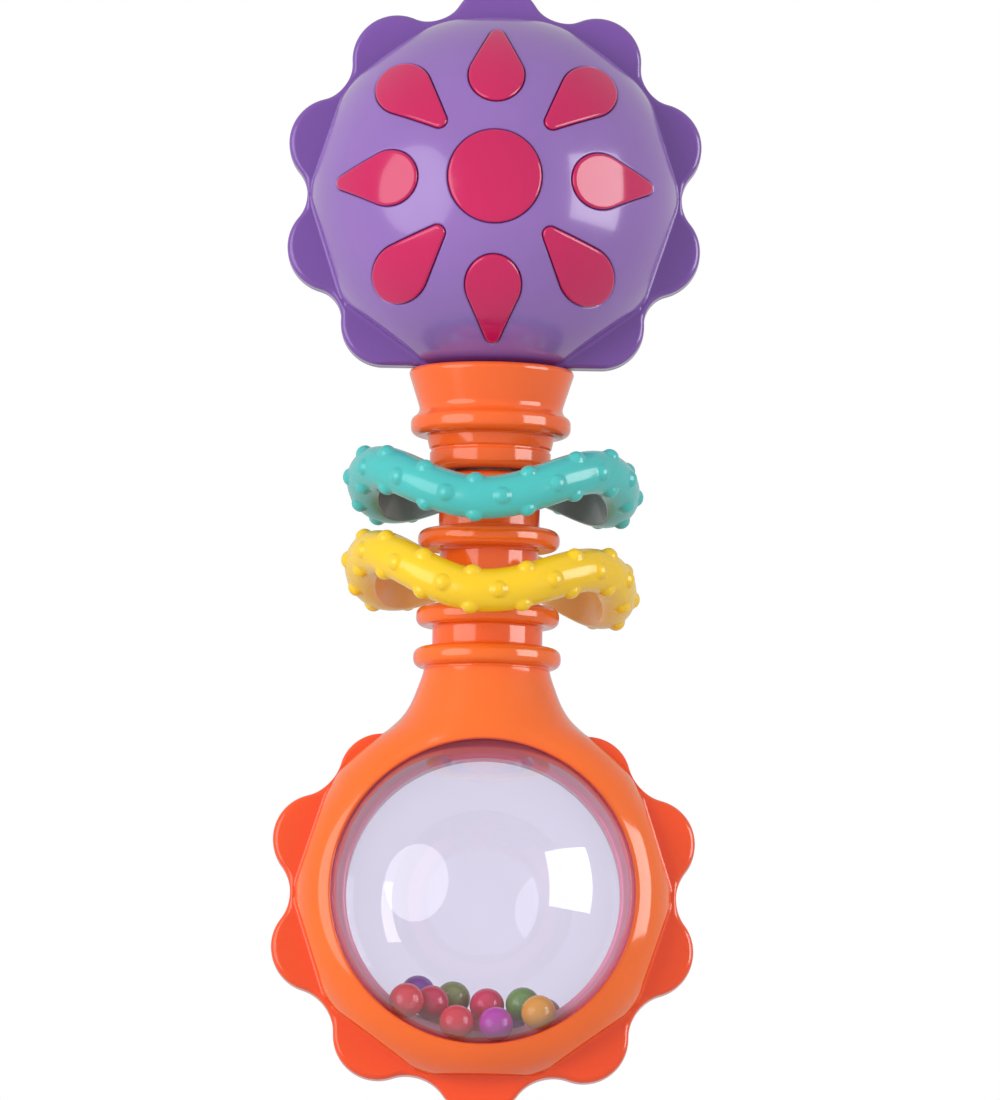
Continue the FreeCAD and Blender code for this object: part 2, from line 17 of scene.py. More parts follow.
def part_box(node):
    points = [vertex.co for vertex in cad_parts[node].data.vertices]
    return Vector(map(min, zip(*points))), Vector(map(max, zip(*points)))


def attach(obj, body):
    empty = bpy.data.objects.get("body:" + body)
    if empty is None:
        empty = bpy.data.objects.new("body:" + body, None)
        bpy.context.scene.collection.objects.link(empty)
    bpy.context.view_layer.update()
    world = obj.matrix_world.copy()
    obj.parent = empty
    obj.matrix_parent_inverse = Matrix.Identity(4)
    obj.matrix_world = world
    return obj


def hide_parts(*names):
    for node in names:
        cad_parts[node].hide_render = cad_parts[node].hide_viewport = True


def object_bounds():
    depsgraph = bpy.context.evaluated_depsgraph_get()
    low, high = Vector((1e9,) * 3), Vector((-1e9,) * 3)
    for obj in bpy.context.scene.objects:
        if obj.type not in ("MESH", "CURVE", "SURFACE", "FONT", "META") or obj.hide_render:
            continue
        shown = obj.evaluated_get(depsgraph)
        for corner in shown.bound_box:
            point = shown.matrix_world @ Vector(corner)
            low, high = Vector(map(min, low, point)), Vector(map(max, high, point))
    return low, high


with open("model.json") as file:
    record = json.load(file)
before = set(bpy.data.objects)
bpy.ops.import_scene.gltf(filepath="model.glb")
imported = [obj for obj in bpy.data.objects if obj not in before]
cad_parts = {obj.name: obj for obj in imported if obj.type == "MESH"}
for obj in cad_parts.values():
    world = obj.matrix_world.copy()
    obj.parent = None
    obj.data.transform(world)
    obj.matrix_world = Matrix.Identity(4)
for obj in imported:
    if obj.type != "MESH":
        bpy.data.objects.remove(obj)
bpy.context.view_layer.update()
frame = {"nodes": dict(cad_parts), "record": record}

MM = 0.001


def middle(node):
    """Centre of a CAD piece, in mm."""
    low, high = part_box(node)
    return (low + high) / 2 * 1000


HEAD_Z = middle("inlay_front").z
LENS_Z = middle("chamber_ring").z
COLLAR_FOOT_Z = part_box("collar_front")[0].z * 1000
HANDLE_TOP_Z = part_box("lens_frame_front")[1].z * 1000

# head: a spherical body, cut to flats at the foot, on a flange of petals
HEAD_R = 32.0
HEAD_FLAT = 30.43  # centre to a flat of the foot
HEAD_CORNER = 31.93  # limit that rounds the corners between flats
HEAD_FOOT_MAX = 31.85
HEAD_LEVEL_FOOT = 31.80  # foot radius above the collar
HEAD_INNER_R = 29.3
CAP_R = 28.6  # the cap with the inlay pockets ends here

# petals: lobes one step apart on the flange, joined by concave arcs
PETAL_T = 3.0
STEP = 36.0
# lobe centre distance, lobe radius, distance to the notch between lobes
HEAD_LOBE = (29.48, 7.80, 32.52)
LENS_LOBE = (30.20, 7.80, 33.39)
# the two low lobes at the level side: centre x, centre z, radius, radius of the joining arc
HEAD_LOW_LOBE = (18.9, -22.27, 7.45, 5.0)
LENS_LOW_LOBE = (18.05, 20.65, 7.10, 8.0)
RIM_ROUND = 1.1  # largest rounding of a petal's rim
ROOT_ROUND = 0.7  # largest hollow at a petal's root

# window frame ring
RING_MID, RING_OUT = 24.6, 32.75
RING_FLAT, RING_CORNER, RING_FOOT_MAX = 31.15, 32.62, 32.48
RING_DEPTH = 11.8
SEAT_R = 28.4

# clear domes: sphere radius, depth of its centre, wall
DOME_R, DOME_OFF, DOME_T = 27.5, 2.6, 1.2
DOME_BACK, DOME_RIM_T = 4.2, 1.5

SEAM = 0.07  # step in at the parting plane on turned pieces


# ---------------------------------------------------------------- mesh help
def around(count):
    return np.linspace(0, 2 * math.pi, count, endpoint=False)


def grid_faces(row_count, col_count, wrap_rows=False, wrap_cols=False):
    rows = np.arange(row_count if wrap_rows else row_count - 1)
    cols = np.arange(col_count if wrap_cols else col_count - 1)
    row, col = np.meshgrid(rows, cols, indexing="ij")
    next_row, next_col = (row + 1) % row_count, (col + 1) % col_count
    quads = [
        row * col_count + col,
        row * col_count + next_col,
        next_row * col_count + next_col,
        next_row * col_count + col,
    ]
    return np.stack(quads, -1).reshape(-1, 4).tolist()


def capped_faces(row_count, col_count):
    """Faces of a tube of closed rows with both ends filled."""
    faces = grid_faces(row_count, col_count, wrap_cols=True)
    faces.append(list(range(col_count))[::-1])
    faces.append([(row_count - 1) * col_count + i for i in range(col_count)])
    return faces


def rings_about_y(rows, angles, centre_z=0.0):
    """Vertices of rings about the Y direction from (radius, depth) rows.

    Each radius and depth is one number or one value per angle.
    """
    radius, depth = (
        np.array([np.broadcast_to(row[part], angles.shape) for row in rows]) for part in (0, 1)
    )
    x, z = radius * np.cos(angles), centre_z + radius * np.sin(angles)
    return np.stack([x, -depth, z], -1).reshape(-1, 3)


def signed_volume(points, faces):
    fans = np.array([(f[0], f[k], f[k + 1]) for f in faces for k in range(1, len(f) - 1)])
    a, b, c = points[fans[:, 0]], points[fans[:, 1]], points[fans[:, 2]]
    return float(np.einsum("ij,ij->i", a, np.cross(b, c)).sum() / 6)


def make(name, shells, material, body, node, sharp=None, exact=None):
    """One mesh object, in place of a CAD node, from closed shells [(points in mm, faces)].

    sharp is the angle in degrees above which edges stay hard; exact is (indices, normals)
    of the vertices whose normals are known.
    """
    all_points, all_faces = [], []
    for points, faces in shells:
        if signed_volume(points - points.mean(0), faces) < 0:
            faces = [tuple(reversed(face)) for face in faces]
        start = len(all_points)
        all_points.extend((points * MM).tolist())
        all_faces.extend(tuple(i + start for i in face) for face in faces)
    mesh = bpy.data.meshes.new(name)
    mesh.from_pydata(all_points, [], all_faces)
    mesh.validate()
    mesh.update()
    mesh.polygons.foreach_set("use_smooth", [True] * len(mesh.polygons))
    if sharp:
        mesh.set_sharp_from_angle(angle=math.radians(sharp))
    if exact:
        normals = np.zeros(len(mesh.vertices) * 3, np.float32)
        mesh.vertex_normals.foreach_get("vector", normals)
        normals = normals.reshape(-1, 3)
        indices, known = exact
        normals[indices] = known
        mesh.normals_split_custom_set_from_vertices(normals.tolist())
    piece = bpy.data.objects.new(name, mesh)
    bpy.context.scene.collection.objects.link(piece)
    mesh.materials.append(material)
    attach(piece, body)
    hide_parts(node)


def make_pair(stem, ending, shells, material, body, sharp=None, exact=None):
    """A front piece, and the same turned half a turn about Z as the back piece."""
    for side, turn in (("front", (1, 1, 1)), ("back", (-1, -1, 1))):
        make(
            f"{stem}_{side}_{ending}",
            [(points * np.array(turn), faces) for points, faces in shells],
            material,
            body,
            f"{stem}_{side}",
            sharp=sharp,
            exact=exact and (exact[0], exact[1] * np.array(turn)),
        )


def arc_points(centre, radius, start, end, count=48):
    """Points on the shorter arc round the centre from start to end."""
    first = math.atan2(start[1] - centre[1], start[0] - centre[0])
    last = math.atan2(end[1] - centre[1], end[0] - centre[0])
    turn = (last - first + math.pi) % (2 * math.pi) - math.pi
    angle = first + turn * np.linspace(0, 1, count)
    x, y = centre[0] + radius * np.cos(angle), centre[1] + radius * np.sin(angle)
    return np.stack([x, y], -1)


def rounded(corners, count):
    """A closed outline from (u, v, radius) corners, each arc sampled with count points."""
    outline = []
    for i, (u, v, radius) in enumerate(corners):
        corner = np.array([u, v], float)
        if radius <= 0:
            outline.append(corner)
            continue
        to_last = np.array(corners[i - 1][:2]) - corner
        to_next = np.array(corners[(i + 1) % len(corners)][:2]) - corner
        to_last, to_next = to_last / np.linalg.norm(to_last), to_next / np.linalg.norm(to_next)
        half = math.acos(np.clip(to_last @ to_next, -1, 1)) / 2
        reach = radius / math.tan(half)
        inward = (to_last + to_next) / np.linalg.norm(to_last + to_next)
        centre = corner + inward * (radius / math.sin(half))
        start, end = corner + to_last * reach, corner + to_next * reach
        outline.extend(arc_points(centre, radius, start, end, count))
    return np.array(outline)


def dense(outline, step, closed=True):
    """The outline with long stretches divided and a support point beside every corner."""
    long_stretch, support = 0.5, 0.12
    points = []
    count = len(outline)
    for i in range(count if closed else count - 1):
        a, b = outline[i], outline[(i + 1) % count]
        length = np.linalg.norm(b - a)
        points.append(a)
        if length > long_stretch:
            parts = math.ceil(length / step)
            shares = [k / parts for k in range(1, parts)]
            shares = [support / length] + shares + [1 - support / length]
            points.extend(a + (b - a) * share for share in shares)
    if not closed:
        points.append(outline[-1])
    return np.array(points)


def half_turn_angles(first, second, count):
    """Angles over half a turn, with extra columns close to both ends."""
    inside = np.linspace(second, math.pi - second, count)
    return np.concatenate([[0, first], inside, [math.pi - first, math.pi]])


def half_turned(profile):
    """Front half of a solid of revolution about Z from a closed (radius, z) profile."""
    radius, z = profile[:, 0], profile[:, 1]
    edge = 0.16 / radius.max()
    angles = half_turn_angles(edge, edge * 3, 120)
    step_in = np.zeros(len(angles))
    step_in[[0, -1]] = SEAM
    # the bore, under 7 mm, has no seam
    radii = radius[:, None] - step_in[None, :] * (radius[:, None] > 7)
    heights = np.repeat(z[:, None], len(angles), 1)
    x, y = radii * np.cos(math.pi + angles), radii * np.sin(math.pi + angles)
    row_count, col_count = len(radius), len(angles)
    faces = grid_faces(row_count, col_count, wrap_rows=True)
    faces.append([i * col_count for i in range(row_count)])
    faces.append([i * col_count + col_count - 1 for i in range(row_count)][::-1])
    return np.stack([x, y, heights], -1).reshape(-1, 3), faces


def smooth_max(a, b, blend):
    near = np.maximum(blend - np.abs(a - b), 0) / blend
    return np.maximum(a, b) + near * near * blend / 4


def soft_min(a, limit, blend=0.12):
    return -np.log(np.exp(-a / blend) + np.exp(-limit / blend)) * blend


def smooth_step(share):
    share = np.clip(share, 0, 1)
    return share * share * (3 - 2 * share)


def edge_drop(distance, radius):
    """Height, 0 or less, of a rounded edge at a distance inside its outline."""
    inside = np.clip(distance, 0, radius)
    return -(radius - np.sqrt(np.maximum(radius**2 - (radius - inside) ** 2, 0)))


# ---------------------------------------------------------------- shader help
def new_material(name):
    material = bpy.data.materials.new(name)
    material.use_nodes = True
    material.node_tree.nodes.clear()
    return material, material.node_tree


def add_node(tree, kind, inputs=None, **settings):
    """A shader node; each input is given a value or the output socket that feeds it."""
    node = tree.nodes.new("ShaderNode" + kind)
    for key, value in settings.items():
        setattr(node, key, value)
    for key, value in (inputs or {}).items():
        if isinstance(value, bpy.types.NodeSocket):
            tree.links.new(value, node.inputs[key])
        else:
            node.inputs[key].default_value = value
    return node


def object_coords(tree):
    return add_node(tree, "TexCoord").outputs["Object"]


def mapped(tree, vector, **inputs):
    return add_node(tree, "Mapping", {"Vector": vector, **inputs}).outputs["Vector"]


def noise(tree, vector, scale, detail=2):
    inputs = {"Vector": vector, "Scale": scale, "Detail": detail}
    return add_node(tree, "TexNoise", inputs).outputs["Fac"]


def colour_ramp(tree, factor, low, high, positions=(0, 1)):
    node = add_node(tree, "ValToRGB", {"Fac": factor})
    for element, position, colour in zip(node.color_ramp.elements, positions, (low, high)):
        element.position = position
        element.color = colour
    return node.outputs["Color"]


def map_range(tree, value, source=(0, 1), target=(0, 1)):
    inputs = {"Value": value, "From Min": source[0], "From Max": source[1]}
    inputs.update({"To Min": target[0], "To Max": target[1]})
    return add_node(tree, "MapRange", inputs).outputs["Result"]


def math_node(tree, operation, *values, **settings):
    return add_node(tree, "Math", dict(enumerate(values)), operation=operation, **settings).outputs[0]


def tint(tree, factor, colour, other):
    """The colour, going over to the other, a hex colour, as the factor rises."""
    inputs = {"Factor": factor, "A": colour, "B": linear(other)}
    return add_node(tree, "Mix", inputs, data_type="RGBA").outputs["Result"]


def bump(tree, height, strength, distance):
    inputs = {"Height": height, "Strength": strength, "Distance": distance}
    return add_node(tree, "Bump", inputs).outputs["Normal"]


def mix_shader(tree, factor, first, second):
    return add_node(tree, "MixShader", {0: factor, 1: first, 2: second}).outputs[0]


def linear(hexa):
    """Linear RGBA from an sRGB hex string."""
    srgb = [int(hexa[i : i + 2], 16) / 255 for i in (0, 2, 4)]
    return [((v + 0.055) / 1.055) ** 2.4 if v > 0.04045 else v / 12.92 for v in srgb] + [1.0]


# ---------------------------------------------------------------- materials
def paint_crease_shade(tree, colour, crease_shade_colour, reach):
    """Painted shade: creases and undersides, found by ambient occlusion, are tinted toward a darker
    colour.
    """
    occlusion = add_node(tree, "AmbientOcclusion", {"Distance": reach}, samples=4)
    crease_shade_share = map_range(tree, occlusion.outputs["AO"], source=(0.25, 0.85), target=(1, 0))
    return tint(tree, crease_shade_share, colour, crease_shade_colour)


def paint_petal_shade(tree, coords, colour, petal_shade_colour):
    """Painted shade: the thin petals near the parting plane take a darker colour, standing for the
    shade the body casts on them.
    """
    split = add_node(tree, "SeparateXYZ", {"Vector": coords})
    depth = math_node(tree, "ABSOLUTE", split.outputs["Y"])
    near = map_range(tree, depth, source=(0.0031, 0.0040), target=(1, 0))  # metres
    return tint(tree, near, colour, petal_shade_colour)


def paint_inner_side_light(tree, coords, colour, inner):
    """Painted light: the side of a loop that faces the handle takes a colour standing for the shade
    there and the handle's orange bounce light.
    """
    level = add_node(tree, "VectorMath", {0: coords, 1: (1, 1, 0)}, operation="MULTIPLY")
    outward = add_node(tree, "VectorMath", {0: level.outputs["Vector"]}, operation="NORMALIZE")
    normal = add_node(tree, "NewGeometry").outputs["Normal"]
    facing = add_node(
        tree, "VectorMath", {0: outward.outputs["Vector"], 1: normal}, operation="DOT_PRODUCT"
    )
    inward = map_range(tree, facing.outputs["Value"], source=(-0.25, -0.85))
    return tint(tree, inward, colour, inner)


def plastic(name, colour, rough, vary=0.05, coat=0.35, crease_shade_colour=None, reach=0.006, inner=None, petal_shade_colour=None):
    """Glossy moulded plastic: slow colour drift, uneven polish, faint waviness, hairlines; optionally
    painted shade in creases and on the petals, and painted shade and bounce light on the side of a
    loop facing the handle.
    """
    material, tree = new_material(name)
    coords = object_coords(tree)
    plain = mapped(tree, coords)
    base = linear(colour)[:3]
    shade = colour_ramp(
        tree,
        noise(tree, plain, scale=38, detail=3),
        low=[c * (1 - vary) for c in base] + [1],
        high=[min(1, c * (1 + vary)) for c in base] + [1],
        positions=(0.32, 0.68),
    )
    # painted shade in creases and undersides
    if crease_shade_colour:
        shade = paint_crease_shade(tree, shade, crease_shade_colour, reach)
    # painted shade on the petals
    if petal_shade_colour:
        shade = paint_petal_shade(tree, coords, shade, petal_shade_colour)
    # painted shade and bounce light on the side of a loop facing the handle
    if inner:
        shade = paint_inner_side_light(tree, coords, shade, inner)
    polish = noise(tree, plain, scale=160, detail=4)
    roughness = map_range(tree, polish, source=(0.3, 0.7), target=(rough * 0.85, rough * 1.25))
    waves = noise(tree, plain, scale=90, detail=1)
    streaked = mapped(tree, coords, Scale=(1, 0.12, 0.3), Rotation=(0.4, 0.9, 0.2))
    hairlines = noise(tree, streaked, scale=700, detail=2)
    height = math_node(tree, "MULTIPLY_ADD", hairlines, 0.06, waves)
    surface = {
        "Base Color": shade,
        "Roughness": roughness,
        "Normal": bump(tree, height, strength=0.012, distance=0.002),
        "IOR": 1.5,
        "Specular IOR Level": 0.5,
        "Coat Weight": coat,
        "Coat Roughness": 0.05,
    }
    shader = add_node(tree, "BsdfPrincipled", surface)
    add_node(tree, "OutputMaterial", {"Surface": shader.outputs[0]})
    return material


def clear_plastic(name, colour, gloss):
    """Clear moulded dome: tinted see-through body with a polished, slightly uneven skin."""
    material, tree = new_material(name)
    coords = object_coords(tree)
    drift = noise(tree, coords, scale=45, detail=2)
    low, high = [c * 0.985 for c in colour] + [1], list(colour) + [1]
    body_colour = colour_ramp(tree, drift, low, high, positions=(0.3, 0.7))
    body = add_node(tree, "BsdfTransparent", {"Color": body_colour})
    polish = noise(tree, coords, scale=300)
    skin = {
        "Roughness": map_range(tree, polish, target=(gloss * 0.6, gloss * 1.6)),
        "Normal": bump(tree, drift, strength=0.01, distance=0.001),
    }
    glossy = add_node(tree, "BsdfGlossy", skin)
    # only the outward side of each skin shines; the way back out is plain see-through
    back = add_node(tree, "NewGeometry").outputs["Backfacing"]
    front = math_node(tree, "SUBTRACT", 1.0, back)
    fresnel = add_node(tree, "Fresnel", {"IOR": 1.46}).outputs[0]
    shine = math_node(tree, "MULTIPLY", fresnel, front)
    boosted = math_node(tree, "MULTIPLY", shine, 2.4, use_clamp=True)
    shader = mix_shader(tree, boosted, body.outputs[0], glossy.outputs[0])
    add_node(tree, "OutputMaterial", {"Surface": shader})
    material.blend_method = "BLEND"
    return material


def metal(name, colour, rough):
    """Metal with fine streaks in colour, polish and height."""
    material, tree = new_material(name)
    streaks = noise(tree, mapped(tree, object_coords(tree), Scale=(1, 0.1, 1)), 900, detail=4)
    base = linear(colour)
    surface = {
        "Base Color": colour_ramp(tree, streaks, [c * 0.8 for c in base[:3]] + [1], base),
        "Roughness": map_range(tree, streaks, target=(rough * 0.7, rough * 1.4)),
        "Metallic": 1.0,
        "Normal": bump(tree, streaks, strength=0.05, distance=0.0005),
    }
    shader = add_node(tree, "BsdfPrincipled", surface)
    add_node(tree, "OutputMaterial", {"Surface": shader.outputs[0]})
    return material


# Second colours on the materials are painted light: darker colours for shade in creases and on the
# petals, and on the loops a colour for the shade and the handle's bounce light on their inner side.
PURPLE = plastic("purple_plastic", "8763AA", rough=0.16, crease_shade_colour="62398F", petal_shade_colour="73499B")
MAGENTA = plastic("magenta_plastic", "BC0A52", rough=0.13, crease_shade_colour="900A3C", reach=0.003)
ORANGE = plastic("orange_plastic", "EE621E", rough=0.12, crease_shade_colour="F45E20", reach=0.0035)
FRAME = plastic(
    "orange_frame_plastic", "EE681A", rough=0.12, crease_shade_colour="EA4812", reach=0.0035, petal_shade_colour="EA4A10"
)
BAND = plastic("chamber_ring_plastic", "FF92AE", rough=0.2, vary=0.07)
TEAL = plastic("teal_plastic", "43B4B1", rough=0.2, coat=0.2, crease_shade_colour="2C9A98", inner="6A9092")
YELLOW = plastic("yellow_plastic", "ECC015", rough=0.2, coat=0.2, crease_shade_colour="E8AC10", inner="FFDE86")
IVORY = plastic("mechanism_plastic", "E4DECD", rough=0.4, coat=0.0)
STEEL = metal("spring_steel", "B8B8BC", rough=0.3)
CLEAR = clear_plastic("clear_lavender_plastic", (0.94, 0.925, 0.98), gloss=0.03)


# ---------------------------------------------------------------- lobed flange
def lobe_trace(lobes, fillets, start, end):
    """Pieces of an outline from start to end: lobe circles joined by concave arcs."""
    pieces = []
    here = start
    for (centre, radius), (centre2, radius2), fillet in zip(lobes, lobes[1:], fillets):
        gap = np.linalg.norm(centre2 - centre)
        reach, reach2 = radius + fillet, radius2 + fillet
        along = (reach * reach - reach2 * reach2 + gap * gap) / (2 * gap)
        across = (centre2 - centre) / gap
        outward = np.array([across[1], -across[0]])
        if outward @ (centre + centre2) < 0:
            outward = -outward
        hollow = centre + across * along + outward * math.sqrt(reach * reach - along * along)
        leave = centre + (hollow - centre) / np.linalg.norm(hollow - centre) * radius
        enter = centre2 + (hollow - centre2) / np.linalg.norm(hollow - centre2) * radius2
        pieces.append(arc_points(centre, radius, here, leave))
        pieces.append(arc_points(hollow, fillet, leave, enter))
        here = enter
    pieces.append(arc_points(*lobes[-1], here, end))
    return pieces


def read_radius(pieces, angles):
    points = np.vstack(pieces)
    point_angles = np.arctan2(points[:, 1], points[:, 0]) % (2 * math.pi)
    radii = np.hypot(points[:, 0], points[:, 1])
    order = np.argsort(point_angles)
    wrapped = angles % (2 * math.pi)
    return np.interp(wrapped, point_angles[order], radii[order], period=2 * math.pi)


def fillet_radius(distance, radius, notch):
    """Radius of the concave arc between two full lobes that just reaches the notch."""
    cos_half = math.cos(math.radians(STEP / 2))
    top = distance * distance + notch * notch - 2 * distance * notch * cos_half - radius * radius
    return top / (2 * radius - 2 * notch + 2 * distance * cos_half)


def flange_outline(angles, lobe, low_lobe):
    """Radius of seven full lobes and two low ones that are joined by a level line.

    The level side lies toward the low lobes: below the head, above the lens.
    """
    distance, radius, _ = lobe
    x, z, low_radius, low_fillet = low_lobe
    side = math.copysign(1, z)
    level = z + side * low_radius
    full = [math.radians(90 * side + STEP * (2 + k)) for k in range(7)]
    lobes = [(np.array([-side * x, z]), low_radius)]
    lobes += [(distance * np.array([math.cos(a), math.sin(a)]), radius) for a in full]
    lobes += [(np.array([side * x, z]), low_radius)]
    fillets = [low_fillet] + [fillet_radius(*lobe)] * 6 + [low_fillet]
    pieces = lobe_trace(lobes, fillets, (-side * x, level), (side * x, level))
    line = np.stack([np.linspace(-x, x, 160), np.full(160, level)], -1)
    return read_radius(pieces + [line], angles)


def lobe_delta(angles):
    """Angle off the nearest lobe axis, radians."""
    off = (np.degrees(angles) - 90 + STEP / 2) % STEP - STEP / 2
    return np.radians(np.abs(off))


def degrees_off(angles, axis):
    """Angle off an axis given in degrees, in degrees."""
    return np.abs((np.degrees(angles) - axis + 180) % 360 - 180)


def flange_rows(foot, foot_depth, rim):
    """(radius, depth) rows from the foot of the body over its wall, the hollow at the
    petal's root, the petal's face and its rounded rim, down to the parting plane."""
    land = np.maximum(rim - foot, 0.05)
    edge = np.minimum(RIM_ROUND, land * 0.55)
    root = np.clip(np.minimum(foot_depth - PETAL_T, land - edge), 0.0, ROOT_ROUND)
    top = np.maximum(foot_depth, PETAL_T)
    rows = []
    for share in (0.03, 0.1, 0.25, 0.45, 0.65, 0.85, 1.0):
        rows.append((foot, top + (PETAL_T + root - top) * share))
    for a in math.pi / 2 * np.linspace(0, 1, 9)[1:]:
        rows.append((foot + root * (1 - math.cos(a)), PETAL_T + root * (1 - math.sin(a))))
    for share in (0.08, 0.3, 0.6, 0.92):
        rows.append((foot + root + (rim - edge - foot - root) * share, PETAL_T))
    for a in math.pi / 2 * np.linspace(0, 1, 8):
        rows.append((rim - edge + edge * math.sin(a), PETAL_T - edge + edge * math.cos(a)))
    rows += [(rim, 0.9), (rim, 0.16), (rim - 0.08, 0.0)]
    return rows


# ---------------------------------------------------------------- inlay outlines
# A disc (shape None) and eight teardrops on the head, each with its turn in degrees.
# Teardrop: distance of the big circle, its radius, distance of the tip, tip radius.
DISC_R = 8.1
TIP_OUT = (18.2, 4.85, 27.3, 1.4)
TIP_IN = (22.7, 4.85, 12.5, 1.4)
INLAYS = [(None, 0)] + [(TIP_IN if k % 2 else TIP_OUT, 45 * k) for k in range(8)]


def turned(points, degrees):
    a = math.radians(degrees)
    x, z = points[..., 0], points[..., 1]
    return np.stack([x * math.cos(a) - z * math.sin(a), x * math.sin(a) + z * math.cos(a)], -1)


def drop_distance(x, z, big, radius, tip, tip_radius):
    """Signed distance to a teardrop on the x axis: two circles joined by tangents."""
    sign = 1.0 if tip > big else -1.0
    apart = abs(tip - sign * tip_radius - big)
    u, v = (x - big) * sign, np.abs(z)
    b = (radius - tip_radius) / apart
    a = math.sqrt(1 - b * b)
    along = v * -b + u * a
    to_side = v * a + u * b - radius
    to_big = np.hypot(u, v) - radius
    to_tip = np.hypot(u - apart, v) - tip_radius
    return np.where(along < 0, to_big, np.where(along > a * apart, to_tip, to_side))


def drop_loop(big, radius, tip, tip_radius, grow, step):
    """Points round a teardrop grown outward by grow."""
    sign = 1.0 if tip > big else -1.0
    tip_centre = tip - sign * tip_radius
    tangent = math.acos((radius - tip_radius) / abs(tip_centre - big))
    big_r, tip_r = radius + grow, max(tip_radius + grow, 0.05)

    def on_circle(centre, r, a):
        return np.array([centre + sign * r * math.cos(a), r * math.sin(a)])

    def arc(centre, r, start, end, count):
        return [on_circle(centre, r, a) for a in np.linspace(start, end, count, endpoint=False)]

    def side(start, end, count):
        return [start + (end - start) * q for q in np.linspace(0, 1, count, endpoint=False)]

    low_big, low_tip = on_circle(big, big_r, -tangent), on_circle(tip_centre, tip_r, -tangent)
    high_tip, high_big = on_circle(tip_centre, tip_r, tangent), on_circle(big, big_r, tangent)
    big_turn = 2 * math.pi - 2 * tangent
    big_count = max(8, int(big_r * big_turn / step))
    side_count = max(3, int(np.linalg.norm(low_tip - low_big) / step))
    tip_count = max(6, int(tip_r * 2 * tangent / (step * 0.5)))
    return np.array(
        arc(big, big_r, tangent, 2 * math.pi - tangent, big_count)
        + side(low_big, low_tip, side_count)
        + arc(tip_centre, tip_r, -tangent, tangent, tip_count)
        + side(high_tip, high_big, side_count)
    )


def shape_distance(points, shape, degrees):
    """Signed distance in the plane to one inlay outline."""
    if shape is None:
        return np.hypot(points[:, 0], points[:, 1]) - DISC_R
    local = turned(points, -degrees)
    return drop_distance(local[:, 0], local[:, 1], *shape)


def inlay_distance(points):
    """Signed distance in the plane to the nearest inlay outline."""
    return np.minimum.reduce([shape_distance(points, *inlay) for inlay in INLAYS])


def shape_loop(shape, degrees, grow, step):
    if shape is None:
        radius = DISC_R + grow
        a = around(int(2 * math.pi * radius / step))
        return np.stack([radius * np.cos(a), radius * np.sin(a)], -1)
    return turned(drop_loop(*shape, grow, step), degrees)


def on_head(points):
    """Points of the plane carried to the front of the head's sphere."""
    depth = np.sqrt(HEAD_R**2 - (points**2).sum(1))
    return np.stack([points[:, 0], -depth, points[:, 1]], -1)


def triangulate(outer, loops, fill):
    """Triangles over an outer loop, inner loops (all kept as edges) and fill points."""
    edges = []
    start = 0
    for loop in [outer] + loops:
        count = len(loop)
        edges.extend((start + i, start + (i + 1) % count) for i in range(count))
        start += count
    points = [Vector(p) for p in np.vstack([outer, *loops, fill])]
    result = delaunay_2d_cdt(points, edges, [], 0, 1e-7)
    return np.array([tuple(p) for p in result[0]]), [list(face) for face in result[2]]


def nearest(points, cloud):
    """Index in the cloud of the point nearest to each given point."""
    return [int(np.argmin(((cloud - p) ** 2).sum(1))) for p in points]


# ---------------------------------------------------------------- head shell
POCKET_GAP, POCKET_LIP, POCKET_SINK = 0.09, 0.34, 0.45
# distances outside an inlay outline at which the skin has a loop of points
POCKET_LOOPS = (-0.5, 0.03, 0.088, 0.11, 0.165, 0.24, 0.33, 0.43, 0.6, 1.0)


def skin_height(distance):
    """Height of the skin above the sphere at a distance outside an inlay outline."""
    lip = edge_drop(distance - POCKET_GAP, POCKET_LIP)
    return np.where(distance < POCKET_GAP - 0.02, -POCKET_SINK, lip)


def head_rows(angles):
    foot = soft_min(HEAD_FLAT / np.cos(lobe_delta(angles)), HEAD_CORNER)
    foot = np.where(degrees_off(angles, 270) < STEP / 2, HEAD_LEVEL_FOOT, foot)
    foot = np.minimum(foot, HEAD_FOOT_MAX)
    rim = np.maximum(flange_outline(angles, HEAD_LOBE, HEAD_LOW_LOBE), foot + 0.06)
    start, end = np.arcsin(CAP_R / HEAD_R), np.arcsin(foot / HEAD_R)
    rows = []
    for share in [*np.linspace(0, 0.94, 16), 0.98, 1.0]:
        a = start + (end - start) * share
        rows.append((HEAD_R * np.sin(a), HEAD_R * np.cos(a)))
    rows += flange_rows(foot, rows[-1][1], rim)
    rows.append((HEAD_INNER_R, 0.0))
    for share in np.linspace(0.04, 0.985, 22):
        a = math.pi / 2 * (1 - share)
        rows.append((HEAD_INNER_R * math.sin(a), HEAD_INNER_R * math.cos(a)))
    return rows


def cap_plan(outer):
    """Plane points and triangles of the cap with the pockets of the inlays."""
    loops = [shape_loop(*inlay, grow, 0.42) for inlay in INLAYS for grow in POCKET_LOOPS]
    pitch = 0.95
    xs = np.arange(-29, 29, pitch)
    grid_x, grid_z = np.meshgrid(xs, xs * math.sqrt(3) / 2 * 1.15)
    grid_x = grid_x + pitch / 2 * (np.arange(len(xs)) % 2)[:, None]
    fill = np.stack([grid_x.ravel(), grid_z.ravel()], -1)
    distance = inlay_distance(fill)
    inside = np.hypot(fill[:, 0], fill[:, 1]) < CAP_R - 0.35
    fill = fill[inside & ((distance > 1.35) | (distance < -1.0))]
    return triangulate(outer, loops, fill)


